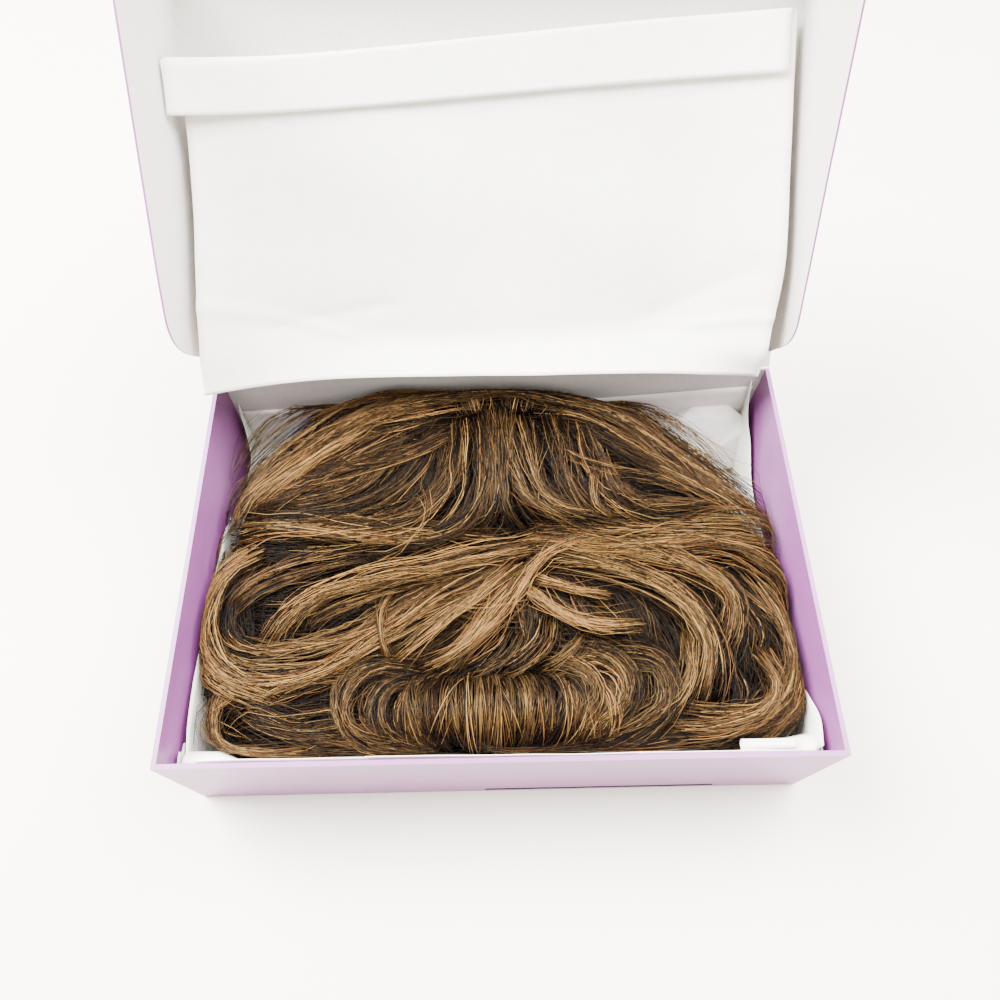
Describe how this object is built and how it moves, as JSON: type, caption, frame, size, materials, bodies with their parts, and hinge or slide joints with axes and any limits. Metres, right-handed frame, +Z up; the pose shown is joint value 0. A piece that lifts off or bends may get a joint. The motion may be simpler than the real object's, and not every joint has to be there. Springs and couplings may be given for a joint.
{
  "type": "layered wig in its lidded box",
  "caption": "Shoulder-length layered wig lying flat on paper in an open card box with a hinged lid that closes over it.",
  "frame": {"origin": "middle of the box's underside, where it stands", "axes": "+Z up, +X to the right of someone facing the open box, +Y to the hinged side"},
  "size_m": [0.33, 0.3695, 0.2877],
  "materials": {
    "lilac_board": "printed satin",
    "white_board": "uncoated matte",
    "white_paper": "matte, creased",
    "cap_net": "stretch net",
    "hair": "brown and gold synthetic hair fibre"
  },
  "bodies": {
    "box": {"tray": "lilac_board", "left_corner_tab": "white_board", "right_corner_tab": "white_board", "paper_liner": "white_paper", "wig_cap": "cap_net", "front_roll": "hair", "left_front_curl": "hair", "right_front_curl": "hair", "fringe_hair": "hair", "left_side_hair": "hair", "right_side_hair": "hair", "crown_hair": "hair", "nape_hair": "hair", "front_under_hair": "hair"},
    "lid": {"lid": "white_board", "lid_paper": "white_paper"}
  },
  "joints": [
    {"name": "lid_hinge", "type": "hinge", "parent": "box", "child": "lid", "pos_m": [0, 0.113, 0.0848], "axis": [1, 0, 0], "range_deg": [-50, 130]}
  ]
}
